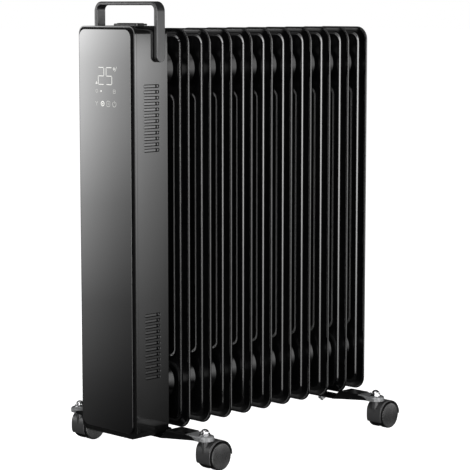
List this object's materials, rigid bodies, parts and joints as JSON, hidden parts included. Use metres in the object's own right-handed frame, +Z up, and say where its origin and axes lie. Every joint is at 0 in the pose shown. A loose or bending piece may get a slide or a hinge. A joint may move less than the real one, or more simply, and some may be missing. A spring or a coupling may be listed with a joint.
{
  "type": "oil filled radiator heater",
  "caption": "Oil filled radiator heater: a row of pressed steel fins behind a glass-fronted control casing, with a strap handle, a push-button on top and swivel casters.",
  "frame": {"origin": "on the floor, under the middle of the heater's box", "axes": "+X to the right seen from the control panel, -Y towards the panel, +Z up"},
  "size_m": [0.2978, 0.511, 0.655],
  "materials": {
    "black_enamel": "smooth gloss black stove enamel",
    "gloss_casing": "polished black plastic with a soft reflection",
    "black_glass": "opaque black-backed flat glass",
    "satin_plastic": "dark grey satin moulded plastic",
    "wheel_plastic": "hard black nylon with a fine mould texture",
    "zinc": "bright zinc plate",
    "chrome": "polished chrome plate",
    "sheet_steel": "plain rolled and turned steel",
    "circuit_board": "green solder resist",
    "bakelite": "cream moulded resin"
  },
  "bodies": {
    "heater": {"fin_01": "black_enamel", "fin_02": "black_enamel", "fin_03": "black_enamel", "fin_04": "black_enamel", "fin_05": "black_enamel", "fin_06": "black_enamel", "fin_07": "black_enamel", "fin_08": "black_enamel", "fin_09": "black_enamel", "fin_10": "black_enamel", "fin_11": "black_enamel", "oil_filler_plug": "sheet_steel", "casing_shell": "gloss_casing", "front_bezel": "gloss_casing", "glass_panel": "black_glass", "casing_rear_cover": "sheet_steel", "display_board": "circuit_board", "power_board": "circuit_board", "tilt_switch": "satin_plastic", "terminal_block": "bakelite", "temperature_sensor": "satin_plastic", "cable_gland": "satin_plastic", "thermal_cutout": "bakelite", "heating_element": "sheet_steel", "handle": "satin_plastic", "power_button_surround": "satin_plastic", "power_switch": "satin_plastic", "front_foot": "black_enamel", "rear_foot": "black_enamel", "front_u_bolt": "zinc", "rear_u_bolt": "zinc", "front_left_tongue": "zinc", "front_left_dome_nut": "chrome", "front_left_caster_stem": "sheet_steel", "front_right_tongue": "zinc", "front_right_dome_nut": "chrome", "front_right_caster_stem": "sheet_steel", "rear_left_tongue": "zinc", "rear_left_dome_nut": "chrome", "rear_left_caster_stem": "sheet_steel", "rear_right_tongue": "zinc", "rear_right_dome_nut": "chrome", "rear_right_caster_stem": "sheet_steel"},
    "push_button": {"power_button": "satin_plastic"},
    "front_left_caster": {"front_left_caster_hood": "satin_plastic", "front_left_caster_axle": "sheet_steel"},
    "front_left_outer_roller": {"front_left_outer_wheel": "wheel_plastic"},
    "front_left_inner_roller": {"front_left_inner_wheel": "wheel_plastic"},
    "front_right_caster": {"front_right_caster_hood": "satin_plastic", "front_right_caster_axle": "sheet_steel"},
    "front_right_outer_roller": {"front_right_outer_wheel": "wheel_plastic"},
    "front_right_inner_roller": {"front_right_inner_wheel": "wheel_plastic"},
    "rear_left_caster": {"rear_left_caster_hood": "satin_plastic", "rear_left_caster_axle": "sheet_steel"},
    "rear_left_outer_roller": {"rear_left_outer_wheel": "wheel_plastic"},
    "rear_left_inner_roller": {"rear_left_inner_wheel": "wheel_plastic"},
    "rear_right_caster": {"rear_right_caster_hood": "satin_plastic", "rear_right_caster_axle": "sheet_steel"},
    "rear_right_outer_roller": {"rear_right_outer_wheel": "wheel_plastic"},
    "rear_right_inner_roller": {"rear_right_inner_wheel": "wheel_plastic"}
  },
  "joints": [
    {"name": "power_button_press", "type": "slide", "parent": "heater", "child": "push_button", "axis": [0, 0, -1], "range_m": [0, 0.002], "stiffness_N_per_m": 300, "springref_m": -0.003},
    {"name": "front_left_swivel", "type": "hinge", "parent": "heater", "child": "front_left_caster", "pos_m": [-0.134, -0.1925, 0.04], "axis": [0, 0, 1], "continuous": true},
    {"name": "front_left_outer_roll", "type": "hinge", "parent": "front_left_caster", "child": "front_left_outer_roller", "pos_m": [-0.134, -0.1745, 0.02], "axis": [1, 0, 0], "continuous": true},
    {"name": "front_left_inner_roll", "type": "hinge", "parent": "front_left_caster", "child": "front_left_inner_roller", "pos_m": [-0.134, -0.1745, 0.02], "axis": [1, 0, 0], "continuous": true},
    {"name": "front_right_swivel", "type": "hinge", "parent": "heater", "child": "front_right_caster", "pos_m": [0.134, -0.1925, 0.04], "axis": [0, 0, 1], "continuous": true},
    {"name": "front_right_outer_roll", "type": "hinge", "parent": "front_right_caster", "child": "front_right_outer_roller", "pos_m": [0.134, -0.1745, 0.02], "axis": [1, 0, 0], "continuous": true},
    {"name": "front_right_inner_roll", "type": "hinge", "parent": "front_right_caster", "child": "front_right_inner_roller", "pos_m": [0.134, -0.1745, 0.02], "axis": [1, 0, 0], "continuous": true},
    {"name": "rear_left_swivel", "type": "hinge", "parent": "heater", "child": "rear_left_caster", "pos_m": [-0.134, 0.1775, 0.04], "axis": [0, 0, 1], "continuous": true},
    {"name": "rear_left_outer_roll", "type": "hinge", "parent": "rear_left_caster", "child": "rear_left_outer_roller", "pos_m": [-0.134, 0.1955, 0.02], "axis": [1, 0, 0], "continuous": true},
    {"name": "rear_left_inner_roll", "type": "hinge", "parent": "rear_left_caster", "child": "rear_left_inner_roller", "pos_m": [-0.134, 0.1955, 0.02], "axis": [1, 0, 0], "continuous": true},
    {"name": "rear_right_swivel", "type": "hinge", "parent": "heater", "child": "rear_right_caster", "pos_m": [0.134, 0.1775, 0.04], "axis": [0, 0, 1], "continuous": true},
    {"name": "rear_right_outer_roll", "type": "hinge", "parent": "rear_right_caster", "child": "rear_right_outer_roller", "pos_m": [0.134, 0.1955, 0.02], "axis": [1, 0, 0], "continuous": true},
    {"name": "rear_right_inner_roll", "type": "hinge", "parent": "rear_right_caster", "child": "rear_right_inner_roller", "pos_m": [0.134, 0.1955, 0.02], "axis": [1, 0, 0], "continuous": true}
  ]
}
